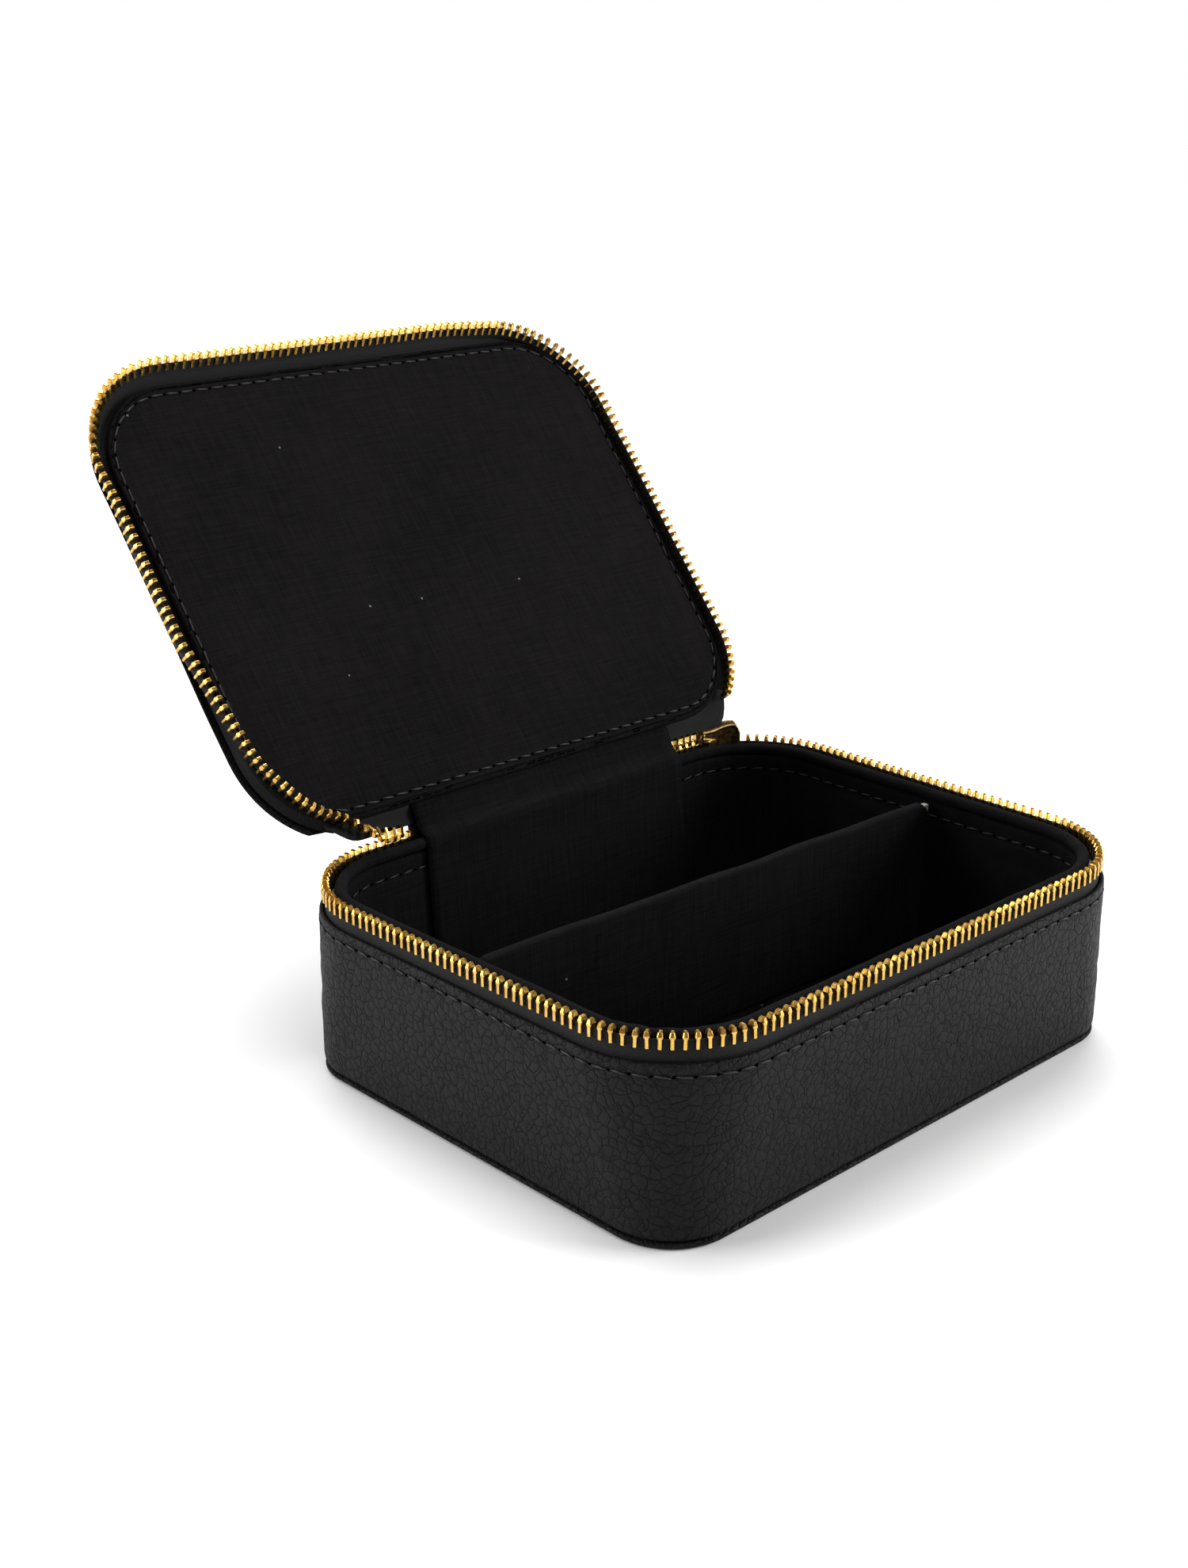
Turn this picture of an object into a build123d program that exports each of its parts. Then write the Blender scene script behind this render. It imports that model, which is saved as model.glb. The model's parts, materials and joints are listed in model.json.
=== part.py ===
"""Zipped leather jewellery case, lid open. Millimetres, +Z up, origin under the middle of the base."""
import os
from math import cos, degrees, pi, radians, sin

from build123d import *

# Body of the case
case_width = 170.0        # along the hinge, X
case_depth = 136.0        # front to back, Y
floor_radius = 17.0       # corner radius at the floor
rim_radius = 29.0         # corner radius from the leather's top edge upwards
leather_top = 43.1        # height of the base leather
side_draft = 3.3          # how far each side comes in towards the floor
leather = 1.2
board = 2.0

# Zip chain, seen along the rim
chain_mid = 49.3          # height of the closed chain's middle
tape_inset = 1.55         # from the outer face to the middle of the tape
tape = 0.7
tape_slot = 0.9
pitch = 2.54
tooth_height = 4.7
tooth_length = 1.0        # along the chain
tooth_depth = 2.3         # through the tape
tooth_tip = 0.7           # how far a tip passes the chain's middle
tape_edge = 2.6           # how far the tape reaches up into a tooth

# Lid
open_angle = 129.3
hinge_y = 65.69
hinge_z = 54.07
lid_mouth = 55.2          # closed height of the lid leather's lower edge
lid_top = 58.9
lid_back_width = 163.0
lid_back_depth = 126.6
lid_back_radius = 22.0
panel_face = 52.1         # closed height of the lid lining's face

# Inside of the base
liner_inset = 6.2
liner_face = 4.4
floor_top = 6.6
collar_inset = 5.4
collar_size = 3.0
divider_top = 46.2
divider_y = -1.0
divider_skew = -2.2       # the soft divider stands slightly askew
gusset_left = -42.0
gusset_right = 49.5

# Slider, on the rear right corner
slider_start = 52.0
slider_end = 78.7
slider_height = 4.6       # above and below the chain's middle
mouth_post = 4.5          # degrees taken by the post in the slider's mouth

corner_x = case_width / 2 - rim_radius
corner_y = case_depth / 2 - rim_radius
tape_radius = rim_radius - tape_inset
lid_frame = (
    Location((0, hinge_y, hinge_z))
    * Location((0, 0, 0), (-open_angle, 0, 0))
    * Location((0, -hinge_y, -hinge_z))
)


def corner_radius(height):
    """The corners are tight at the floor and open out towards the rim."""
    return floor_radius + (rim_radius - floor_radius) * min(height / leather_top, 1)


def draft(height):
    """How far a side stands in from the rim at this height."""
    return side_draft * max(1 - height / leather_top, 0)


def lid_plane(height):
    """The plane that lies at this height when the lid is closed."""
    return Plane(lid_frame).offset(height)


def outline(width, depth, radius, plane):
    with BuildSketch(plane) as shape:
        RectangleRounded(width, depth, radius)
    return shape.sketch.face()


def base_outline(inset, height):
    side = inset + draft(height)
    return outline(
        case_width - 2 * side,
        case_depth - 2 * side,
        corner_radius(height) - inset,
        Plane.XY.offset(height),
    )


def base_wall(inset, thickness, low, high):
    """A wall that follows the case's side, from one height to another."""
    loft(sections=[base_outline(inset, low), base_outline(inset, high)], ruled=True)
    inner = [base_outline(inset + thickness, low), base_outline(inset + thickness, high)]
    loft(sections=inner, ruled=True, mode=Mode.SUBTRACT)


def rim_length(width, depth, radius):
    return 2 * (width + depth) - 8 * radius + 2 * pi * radius


def rim_place(distance, width, depth, radius, height):
    """A place on a rounded rectangle, counter-clockwise from the middle of the rear side."""
    quarter = radius * pi / 2
    long_side = width - 2 * radius
    short_side = depth - 2 * radius
    stretches = [long_side / 2, quarter, short_side, quarter, long_side]
    stretches += [quarter, short_side, quarter, long_side / 2]
    x, y, heading = 0.0, depth / 2, 180.0
    for number, length in enumerate(stretches):
        step = min(distance, length)
        along = radians(heading)
        if number % 2 == 0:
            x += step * cos(along)
            y += step * sin(along)
        else:
            turned = along + step / radius
            x += radius * (sin(turned) - sin(along))
            y -= radius * (cos(turned) - cos(along))
            heading = degrees(turned)
        distance -= step
        if distance <= 0:
            break
    return Location((x, y, height), (0, 0, heading))


def rim_row(first, last, step, width, depth, radius, height):
    count = int((last - first) / step) + 1
    return [rim_place(first + k * step, width, depth, radius, height) for k in range(count)]


def stitches(width, depth, radius, height, frame=Location(), spacing=4.6, size=(3.3, 0.3, 0.5)):
    """A ring of separate stitches on a rounded rectangle."""
    count = round(rim_length(width, depth, radius) / spacing)
    step = rim_length(width, depth, radius) / count
    places = [rim_place((k + 0.5) * step, width, depth, radius, height) for k in range(count)]
    with Locations(*[frame * place for place in places]):
        Box(*size)


# Measures along the chain, counter-clockwise from the middle of the rear side
chain_width = case_width - 2 * tape_inset
chain_depth = case_depth - 2 * tape_inset
chain_length = rim_length(chain_width, chain_depth, tape_radius)
quarter_arc = tape_radius * pi / 2
chain_first = -gusset_left + 0.8
chain_last = chain_length - gusset_right - 1.0
slider_mouth = chain_length - corner_x - quarter_arc * (90 - slider_start) / 90
post_end = slider_mouth + quarter_arc * mouth_post / 90
lid_row_first = corner_x + quarter_arc * 0.2
lid_row_last = slider_mouth - 1.2
teeth_start = chain_first + 0.9

print("perimeter of the zip", round(chain_length, 1), "mm")


# Base: leather, boards and lining
bottom_top = 1.1          # top of the bottom leather
board_inset = 2.0
board_top = bottom_top + 0.1 + board
with BuildPart() as base_bottom_leather:
    loft(sections=[base_outline(0.9, 0), base_outline(0.5, 0.4)], ruled=True)
    loft(sections=[base_outline(0.5, 0.4), base_outline(0.5, bottom_top)], ruled=True)
base_bottom_leather.part.label = "base_bottom_leather"

tape_foot = 36.7          # the zip tape is sewn in above this height
with BuildPart() as base_side_leather:
    base_wall(0, leather + 0.7, bottom_top + 0.1, tape_foot)
    base_wall(0, leather, tape_foot, leather_top)
base_side_leather.part.label = "base_side_leather"

with BuildPart() as base_floor_board:
    low_face = base_outline(board_inset, board_top - board)
    loft(sections=[low_face, base_outline(board_inset, board_top)], ruled=True)
base_floor_board.part.label = "base_floor_board"

wall_board_top = 43.9
liner_top = 45.4
with BuildPart() as base_wall_board:
    base_wall(board_inset, 1.9, board_top + 0.1, wall_board_top)
base_wall_board.part.label = "base_wall_board"

with BuildPart() as base_wall_liner:
    base_wall(liner_face, liner_inset - liner_face, board_top + 0.1, liner_top)
base_wall_liner.part.label = "base_wall_liner"

with BuildPart() as base_floor_pad:
    pad_inset = liner_inset + 0.3
    pad_low = base_outline(pad_inset, board_top + 0.2)
    loft(sections=[pad_low, base_outline(pad_inset, floor_top)], ruled=True)
    fillet(base_floor_pad.faces().sort_by(Axis.Z)[-1].edges(), radius=1.2)
base_floor_pad.part.label = "base_floor_pad"

with BuildPart() as base_collar:
    with BuildSketch(Plane.XY.offset(liner_top + 0.2)):
        for size, mode in ((-collar_size / 2, Mode.ADD), (collar_size / 2, Mode.SUBTRACT)):
            inset = collar_inset + size
            RectangleRounded(
                case_width - 2 * inset, case_depth - 2 * inset, rim_radius - inset, mode=mode
            )
    extrude(amount=collar_size)
    fillet(base_collar.edges().filter_by(Plane.XY), radius=1.4)
base_collar.part.label = "base_collar"

# Stitching on the base
rim_stitch_height = leather_top - 2.8
liner_stitch_height = 41.5
with BuildPart() as base_rim_stitching:
    stand_off = 0.27
    side = draft(rim_stitch_height) - stand_off
    stitches(
        case_width - 2 * side,
        case_depth - 2 * side,
        corner_radius(rim_stitch_height) + stand_off,
        rim_stitch_height,
    )
base_rim_stitching.part.label = "base_rim_stitching"

with BuildPart() as base_liner_stitching:
    stitch_inset = liner_inset + 0.27
    liner_foot = board_top + 0.1
    lean = (liner_top - liner_stitch_height) / (liner_top - liner_foot)
    side = stitch_inset + draft(liner_foot) * lean
    stitches(
        case_width - 2 * side,
        case_depth - 2 * side,
        rim_radius - (rim_radius - corner_radius(liner_foot)) * lean - stitch_inset,
        liner_stitch_height,
    )
base_liner_stitching.part.label = "base_liner_stitching"

# Divider: a board in a fabric sleeve
divider_length = 155.6
divider_foot_length = 150.4
sleeve_thickness = 2.8
sleeve_foot = floor_top + 0.2
divider_plane = Plane(Location((0, divider_y, 0), (0, 0, divider_skew)) * Location((0, 0, 0), (90, 0, 0)))


def divider_slab(low, high, trim, thickness):
    """An upright slab that widens with the tray, between two heights."""
    foot = divider_foot_length / 2 - trim
    head = divider_length / 2 - trim
    with BuildSketch(divider_plane) as slab:
        with BuildLine():
            Polyline((-foot, low), (foot, low), (head, high), (-head, high), close=True)
        make_face()
    extrude(slab.sketch.face(), amount=thickness / 2, both=True)


with BuildPart() as divider_board:
    divider_slab(sleeve_foot + 0.8, divider_top - 1.0, 0.8, 1.6)
divider_board.part.label = "divider_board"

with BuildPart() as divider_cover:
    divider_slab(sleeve_foot, divider_top, 0, sleeve_thickness)
    fillet(divider_cover.faces().sort_by(Axis.Z)[-1].edges(), radius=1.3)
    add(divider_board.part, mode=Mode.SUBTRACT)
divider_cover.part.label = "divider_cover"


# Zip: two tapes, the teeth, the end stops
def tape_ring(low, high, plane_at):
    """A closed ring of tape between two heights."""
    for inset, mode in ((-tape / 2, Mode.ADD), (tape / 2, Mode.SUBTRACT)):
        face = outline(
            chain_width - 2 * inset,
            chain_depth - 2 * inset,
            tape_radius - inset,
            plane_at(low),
        )
        extrude(face, amount=high - low, mode=mode)


def tape_gap(first_x, last_x, low, high, plane_at, depth=12):
    """Cuts the rear of a tape ring away between two places along X."""
    with BuildSketch(plane_at(low - 1)) as gap:
        with Locations(((first_x + last_x) / 2, case_depth / 2)):
            Rectangle(last_x - first_x, depth)
    extrude(gap.sketch.face(), amount=high - low + 2, mode=Mode.SUBTRACT)


base_tape_top = chain_mid + tooth_tip - tooth_height + tape_edge
lid_tape_low = chain_mid - tooth_tip + tooth_height - tape_edge
lid_tape_left = -corner_x - tape_radius * sin(radians(18))
lid_tape_right = corner_x + tape_radius * cos(radians(slider_start - 2))
end_tape_top = 54.5
end_tape_width = 2 * tape_radius * cos(radians(slider_end)) + 22
with BuildPart() as zip_tape_base:
    base_wall(tape_inset - tape / 2, tape, tape_foot, leather_top)
    base_wall(tape_inset - tape / 2, tape, leather_top, base_tape_top)
    tape_gap(gusset_left, gusset_right, tape_foot, base_tape_top, Plane.XY.offset)
zip_tape_base.part.label = "zip_tape_base"

with BuildPart() as zip_tape_end:
    tape_ring(lid_tape_low, end_tape_top, Plane.XY.offset)
    tape_gap(gusset_left, gusset_right, lid_tape_low, end_tape_top, Plane.XY.offset)
    with BuildSketch(Plane.XY.offset(lid_tape_low - 1)) as kept:
        with Locations((corner_x - 2, case_depth / 2)):
            Rectangle(end_tape_width, 12)
    extrude(kept.sketch.face(), amount=8, mode=Mode.INTERSECT)
zip_tape_end.part.label = "zip_tape_end"

with BuildPart() as zip_tape_lid:
    tape_ring(lid_tape_low, lid_mouth - 0.1, lid_plane)
    tape_gap(lid_tape_left, lid_tape_right, lid_tape_low, lid_mouth, lid_plane, depth=20)
zip_tape_lid.part.label = "zip_tape_lid"

with BuildPart() as tooth:
    half = tooth_depth / 2
    slot = tape_slot / 2
    with BuildSketch(Plane.YZ):
        with BuildLine():
            Polyline(
                (-half, 0), (-slot, 0), (-slot, tape_edge + 0.1), (slot, tape_edge + 0.1),
                (slot, 0), (half, 0), (half, 3.2), (0.6, tooth_height), (-0.6, tooth_height),
                (-half, 3.2), close=True,
            )
        make_face()
    extrude(amount=tooth_length / 2, both=True)
tooth_foot = chain_mid + tooth_tip - tooth_height
lid_tooth_foot = 2 * chain_mid - tooth_foot
upside_down = Location((0, 0, 0), (180, 0, 0))


def chain_row(first, last, height):
    return rim_row(first, last, pitch, chain_width, chain_depth, tape_radius, height)


with BuildPart() as zip_teeth_base:
    before = chain_row(teeth_start, slider_mouth - 0.6, tooth_foot)
    after_first = teeth_start + pitch * (int((post_end + 0.6 - teeth_start) / pitch) + 1)
    after = chain_row(after_first, chain_last - 1.2, tooth_foot)
    with Locations(*before, *after):
        add(tooth.part)
zip_teeth_base.part.label = "zip_teeth_base"

with BuildPart() as zip_teeth_end:
    places = chain_row(after_first + pitch / 2, chain_last - 1.2, lid_tooth_foot)
    with Locations(*[place * upside_down for place in places]):
        add(tooth.part)
zip_teeth_end.part.label = "zip_teeth_end"

with BuildPart() as zip_teeth_lid:
    skipped = int((lid_row_first - teeth_start) / pitch) + 1
    lid_start = teeth_start + pitch * (skipped + 0.5)
    places = chain_row(lid_start, lid_row_last, lid_tooth_foot)
    with Locations(*[lid_frame * place * upside_down for place in places]):
        add(tooth.part)
zip_teeth_lid.part.label = "zip_teeth_lid"

with BuildPart() as zip_stops:
    for distance in (chain_first - 0.6, chain_last + 0.5):
        with Locations(rim_place(distance, chain_width, chain_depth, tape_radius, tooth_foot + 2.35)):
            Box(1.6, tooth_depth, 4.4)
    add(zip_tape_base.part, mode=Mode.SUBTRACT)
zip_stops.part.label = "zip_stops"


# Slider: two curved plates round the chain, joined by a post in the mouth, with a bridge for the pull
def radial_plane(angle):
    direction = radians(angle)
    return Plane(
        origin=(corner_x, corner_y, chain_mid),
        x_dir=(cos(direction), sin(direction), 0),
        z_dir=(sin(direction), -cos(direction), 0),
    )


corner_axis = Axis((corner_x, corner_y, 0), (0, 0, 1))
plate = 0.8
running_gap = 0.2
outer_plate = tape_radius + tooth_depth / 2 + running_gap
inner_plate = tape_radius - tooth_depth / 2 - running_gap
flange = 0.4
flange_reach = (tooth_depth - tape) / 2 + running_gap - 0.15
slider_middle = (slider_start + slider_end) / 2
bar_radius = outer_plate + plate + 2.1
with BuildPart() as zip_slider:
    with BuildSketch(radial_plane(slider_start)):
        with Locations((outer_plate + plate / 2, 0), (inner_plate - plate / 2, 0)):
            Rectangle(plate, 2 * slider_height)
        for side in (1, -1):
            middle = side * (slider_height - flange / 2)
            with Locations((outer_plate - flange_reach / 2, middle)):
                Rectangle(flange_reach, flange)
            with Locations((inner_plate + flange_reach / 2, middle)):
                Rectangle(flange_reach, flange)
    revolve(axis=corner_axis, revolution_arc=slider_end - slider_start)
    with BuildSketch(radial_plane(slider_start)):
        with Locations((tape_radius, 0)):
            Rectangle(outer_plate - inner_plate, 1.6)
    revolve(axis=corner_axis, revolution_arc=mouth_post)
    across = radians(slider_middle)
    bridge_plane = Plane(
        origin=(corner_x, corner_y, chain_mid), x_dir=(cos(across), sin(across), 0), z_dir=(0, 0, 1)
    )
    with BuildSketch(bridge_plane.offset(-0.5)):
        with Locations((outer_plate + plate / 2 + 1.5, 0)):
            Rectangle(3.2, 7.0)
        with Locations((outer_plate + plate + 0.6, 0)):
            Rectangle(2.0, 4.6, mode=Mode.SUBTRACT)
    extrude(amount=1.0)
zip_slider.part.label = "zip_slider"

# Pull: an oval wire link on the bridge and a flat tab hanging from it
link_wire = 0.55
link_half = 1.3
link_drop = 5.0
link_plane = radial_plane(slider_middle)
with BuildPart() as pull_link:
    with BuildLine(link_plane) as link_path:
        inside = (bar_radius - link_half, 0)
        outside = (bar_radius + link_half, 0)
        low_outside = (bar_radius + link_half, -link_drop)
        low_inside = (bar_radius - link_half, -link_drop)
        ThreePointArc(inside, (bar_radius, link_half), outside)
        Line(outside, low_outside)
        ThreePointArc(low_outside, (bar_radius, -link_drop - link_half), low_inside)
        Line(low_inside, inside)
    with BuildSketch(Plane(origin=link_path.line @ 0, z_dir=link_path.line % 0)):
        Circle(link_wire)
    sweep(path=link_path.line)
pull_link.part.label = "pull_link"

tab_plane = Plane(
    origin=(corner_x + bar_radius * cos(across), corner_y + bar_radius * sin(across), chain_mid),
    x_dir=(-sin(across), cos(across), 0),
    z_dir=(cos(across), sin(across), 0),
)
tab_thickness = 1.1
tab_top = -3.7
tab_bottom = -22.0
with BuildPart() as pull_tab:
    with BuildSketch(tab_plane.offset(-tab_thickness / 2)):
        with BuildLine():
            Polyline(
                (-2.4, tab_top), (2.4, tab_top), (4.2, tab_bottom), (-4.2, tab_bottom), close=True
            )
        make_face()
        fillet(vertices(), radius=1.2)
        with Locations((0, -link_drop - link_half)):
            SlotOverall(3.4, 1.7, mode=Mode.SUBTRACT)
    extrude(amount=tab_thickness)
pull_tab.part.label = "pull_tab"

# Lid: everything is placed on planes of the open lid
with BuildPart() as lid_side_leather:
    mouth = outline(case_width, case_depth, rim_radius, lid_plane(lid_mouth))
    crown = outline(lid_back_width, lid_back_depth, lid_back_radius, lid_plane(lid_top - 1.1))
    loft(sections=[mouth, crown], ruled=True)
    mouth_inner = outline(
        case_width - 2.2, case_depth - 2.2, rim_radius - 1.1, lid_plane(lid_mouth)
    )
    crown_inner = outline(
        lid_back_width - 2.2, lid_back_depth - 2.2, lid_back_radius - 1.1, lid_plane(lid_top - 1.1)
    )
    loft(sections=[mouth_inner, crown_inner], ruled=True, mode=Mode.SUBTRACT)
    with BuildSketch(lid_plane(lid_mouth - 1)) as hinge_side:
        with Locations((0, case_depth / 2)):
            Rectangle(case_width, 11)
    extrude(hinge_side.sketch.face(), amount=6, mode=Mode.SUBTRACT)
lid_side_leather.part.label = "lid_side_leather"

with BuildPart() as lid_top_leather:
    with BuildSketch(lid_plane(lid_top - 1.0)):
        RectangleRounded(lid_back_width, lid_back_depth, lid_back_radius)
    extrude(amount=1.0)
lid_top_leather.part.label = "lid_top_leather"

core_width = lid_back_width - 4
core_depth = lid_back_depth - 4
core_radius = lid_back_radius + 1
padding = 1.6
padding_face = 54.0
with BuildPart() as lid_board:
    with BuildSketch(lid_plane(padding_face + padding + 0.1)):
        RectangleRounded(core_width, core_depth, core_radius)
    extrude(amount=board)
lid_board.part.label = "lid_board"

with BuildPart() as lid_padding:
    with BuildSketch(lid_plane(padding_face)):
        RectangleRounded(core_width, core_depth, core_radius)
    extrude(amount=padding)
lid_padding.part.label = "lid_padding"

panel_width = 162.2
panel_depth = 125.8
panel_radius = 23.5
with BuildPart() as lid_lining_panel:
    with BuildSketch(lid_plane(panel_face)):
        RectangleRounded(panel_width, panel_depth, panel_radius)
    extrude(amount=padding_face - panel_face - 0.1)
lid_lining_panel.part.label = "lid_lining_panel"

with BuildPart() as lid_lining_stitching:
    stitches(
        panel_width - 3,
        panel_depth - 6,
        panel_radius - 2.5,
        panel_face - 0.2,
        frame=lid_frame,
        size=(3.3, 0.5, 0.3),
    )
lid_lining_stitching.part.label = "lid_lining_stitching"

# Hinge: the lining gusset inside and the leather strip behind, each in a base and a lid part
gusset_width = gusset_right - gusset_left
gusset_middle = (gusset_right + gusset_left) / 2
cloth = 0.5
wall_face_y = 60.6       # the gusset hangs down just inside the rear lining
wall_foot_y = 57.6
with BuildPart() as gusset_base:
    with BuildSketch(Plane.YZ.offset(gusset_left)):
        with BuildLine():
            Polyline((wall_foot_y, 7.3), (wall_face_y, 47.3), (61.6, 49.5), (63.7, 51.8))
        trace(line_width=cloth)
    extrude(amount=gusset_width)
gusset_base.part.label = "gusset_base"

with BuildPart() as gusset_lid:
    with BuildSketch(lid_plane(panel_face + 1.1)):
        with Locations((gusset_middle, panel_depth / 2 + 1.0)):
            Rectangle(gusset_width, 1.4)
    extrude(amount=cloth)
gusset_lid.part.label = "gusset_lid"

spine_width = gusset_width - 1
spine = 0.9
spine_foot = 29
spine_height = 21
with BuildPart() as spine_base:
    with BuildSketch(Plane.XY.offset(spine_foot)):
        with Locations((gusset_middle, case_depth / 2 + 0.5 + spine / 2)):
            Rectangle(spine_width, spine)
    extrude(amount=spine_height)
spine_base.part.label = "spine_base"

with BuildPart() as spine_lid:
    with BuildSketch(lid_plane(lid_top + 0.1)):
        with Locations((gusset_middle, lid_back_depth / 2 - 6)):
            Rectangle(spine_width, 12)
    extrude(amount=spine)
spine_lid.part.label = "spine_lid"

pieces = [
    base_bottom_leather, base_side_leather, base_floor_board, base_wall_board, base_wall_liner,
    base_floor_pad, base_collar, base_rim_stitching, base_liner_stitching, divider_board,
    divider_cover, zip_tape_base, zip_tape_end, zip_tape_lid, zip_teeth_base, zip_teeth_end,
    zip_teeth_lid, zip_stops, zip_slider, pull_link, pull_tab, lid_side_leather, lid_top_leather,
    lid_board, lid_padding, lid_lining_panel, lid_lining_stitching, gusset_base, gusset_lid,
    spine_base, spine_lid,
]
os.makedirs("parts", exist_ok=True)
for piece in pieces:
    export_step(piece.part, f"parts/{piece.part.label}.step")
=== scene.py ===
import json
import math
import random

import bmesh
import bpy
from mathutils import Matrix, Vector, noise
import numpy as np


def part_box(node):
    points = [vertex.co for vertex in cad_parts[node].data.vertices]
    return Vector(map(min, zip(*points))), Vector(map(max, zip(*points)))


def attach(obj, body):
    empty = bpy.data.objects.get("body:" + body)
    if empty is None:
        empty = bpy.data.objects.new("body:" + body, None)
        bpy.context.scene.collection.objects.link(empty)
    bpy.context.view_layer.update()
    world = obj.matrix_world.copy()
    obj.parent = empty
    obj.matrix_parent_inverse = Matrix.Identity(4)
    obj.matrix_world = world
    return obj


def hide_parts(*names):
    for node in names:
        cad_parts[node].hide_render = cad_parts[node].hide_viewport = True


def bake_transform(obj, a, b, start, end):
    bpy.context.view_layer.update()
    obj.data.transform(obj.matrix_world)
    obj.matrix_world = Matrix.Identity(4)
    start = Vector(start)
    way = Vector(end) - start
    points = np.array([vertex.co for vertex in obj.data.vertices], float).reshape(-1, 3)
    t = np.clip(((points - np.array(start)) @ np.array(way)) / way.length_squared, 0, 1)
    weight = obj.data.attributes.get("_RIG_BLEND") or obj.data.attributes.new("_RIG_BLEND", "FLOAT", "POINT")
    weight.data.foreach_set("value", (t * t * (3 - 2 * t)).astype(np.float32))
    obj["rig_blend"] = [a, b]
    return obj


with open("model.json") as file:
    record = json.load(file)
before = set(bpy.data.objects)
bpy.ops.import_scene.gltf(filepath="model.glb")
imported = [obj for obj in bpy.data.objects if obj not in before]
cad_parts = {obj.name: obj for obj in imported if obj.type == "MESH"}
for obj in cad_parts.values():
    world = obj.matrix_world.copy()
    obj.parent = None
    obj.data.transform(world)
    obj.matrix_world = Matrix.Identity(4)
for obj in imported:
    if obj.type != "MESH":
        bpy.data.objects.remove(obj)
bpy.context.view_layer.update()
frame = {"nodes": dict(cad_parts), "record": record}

random.seed(7)

leatherLow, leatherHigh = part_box("base_side_leather")
datum = 2.9  # heights in this script start this far above the table
case = {
    "width": (leatherHigh.x - leatherLow.x) * 1000,
    "depth": (leatherHigh.y - leatherLow.y) * 1000,
    "leatherTop": leatherHigh.z * 1000 - datum,
    "draft": 3.3,
    "floorRadius": 17.0,
    "rimRadius": 29.0,
    "tapeInset": 1.55,
    "chainMid": 46.4,
}
joints = {j["name"]: j for j in frame["record"]["behaviour"]["joints"]}
lidJoint = joints["lid_hinge"]
hinge = Vector(lidJoint["pos_m"]) * 1000 - Vector((0, 0, datum))
openAngle = math.radians(lidJoint["range_deg"][1])
lidOpen = Matrix.Translation(hinge) @ Matrix.Rotation(-openAngle, 4, "X") @ Matrix.Translation(-hinge)
cornerX = case["width"] / 2 - case["rimRadius"]
cornerY = case["depth"] / 2 - case["rimRadius"]
gussetLow, gussetHigh = [v * 1000 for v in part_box("gusset_base")]


cameraSet = {"place": (-0.34729, -0.32272, 0.23989), "turn": (70.15, 0.15, -43.48), "lens": 47.84}
cameraData = bpy.data.cameras.new("camera")
cameraData.lens = cameraSet["lens"]
cameraData.sensor_width = 36
cameraData.sensor_fit = "AUTO"
camera = bpy.data.objects.new("camera", cameraData)
camera.location = cameraSet["place"]
camera.rotation_euler = [math.radians(a) for a in cameraSet["turn"]]
bpy.context.collection.objects.link(camera)
bpy.context.scene.camera = camera

lamps = {
    "rightLamp": {"place": (1.0, -0.95, 0.55), "aim": (0.02, 0.0, 0.04), "size": 0.8, "power": 20},
    "leftLamp": {"place": (-1.05, 0.75, 0.42), "aim": (-0.02, 0.0, 0.04), "size": 0.75, "power": 15},
    "frontLamp": {"place": (-0.25, -1.1, 1.1), "aim": (0.0, 0.05, 0.08), "size": 0.7, "power": 5},
}
for lampName, lamp in lamps.items():
    light = bpy.data.lights.new(lampName, "AREA")
    light.size = lamp["size"]
    light.energy = lamp["power"]
    lampObject = bpy.data.objects.new(lampName, light)
    lampObject.location = lamp["place"]
    towards = Vector(lamp["aim"]) - Vector(lamp["place"])
    lampObject.rotation_euler = towards.to_track_quat("-Z", "Y").to_euler()
    bpy.context.collection.objects.link(lampObject)

sky = {"sunPower": 3.3, "sunSoft": 50, "sunTurn": (-24, 14, 0), "ambient": 0.16}
sun = bpy.data.lights.new("overheadSoft", "SUN")
sun.energy = sky["sunPower"]
sun.angle = math.radians(sky["sunSoft"])
sunObject = bpy.data.objects.new("overheadSoft", sun)
sunObject.rotation_euler = [math.radians(a) for a in sky["sunTurn"]]
bpy.context.collection.objects.link(sunObject)

world = bpy.data.worlds.new("studio")
world.use_nodes = True
sides = world.node_tree
background = sides.nodes["Background"]
background.inputs["Color"].default_value = (1, 1, 1, 1)
rays = sides.nodes.new("ShaderNodeLightPath")
level = sides.nodes.new("ShaderNodeMapRange")
level.inputs["To Min"].default_value = sky["ambient"]
level.inputs["To Max"].default_value = 1.0
sides.links.new(rays.outputs["Is Camera Ray"], level.inputs["Value"])
sides.links.new(level.outputs["Result"], background.inputs["Strength"])
bpy.context.scene.world = world
bpy.context.scene.view_settings.view_transform = "Standard"
print("camera and lights")


class Signal:

    def __init__(self, finish, socket):
        self.finish = finish
        self.socket = socket

    def math(self, operation, *others):
        return self.finish.node("ShaderNodeMath", {"operation": operation}, [self, *others])

    def __add__(self, other):
        return self.math("ADD", other)

    def __sub__(self, other):
        return self.math("SUBTRACT", other)

    def __mul__(self, other):
        return self.math("MULTIPLY", other)

    def __truediv__(self, other):
        return self.math("DIVIDE", other)

    def __rsub__(self, other):
        return self.finish.node("ShaderNodeMath", {"operation": "SUBTRACT"}, [other, self])

    __radd__ = __add__
    __rmul__ = __mul__


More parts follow.
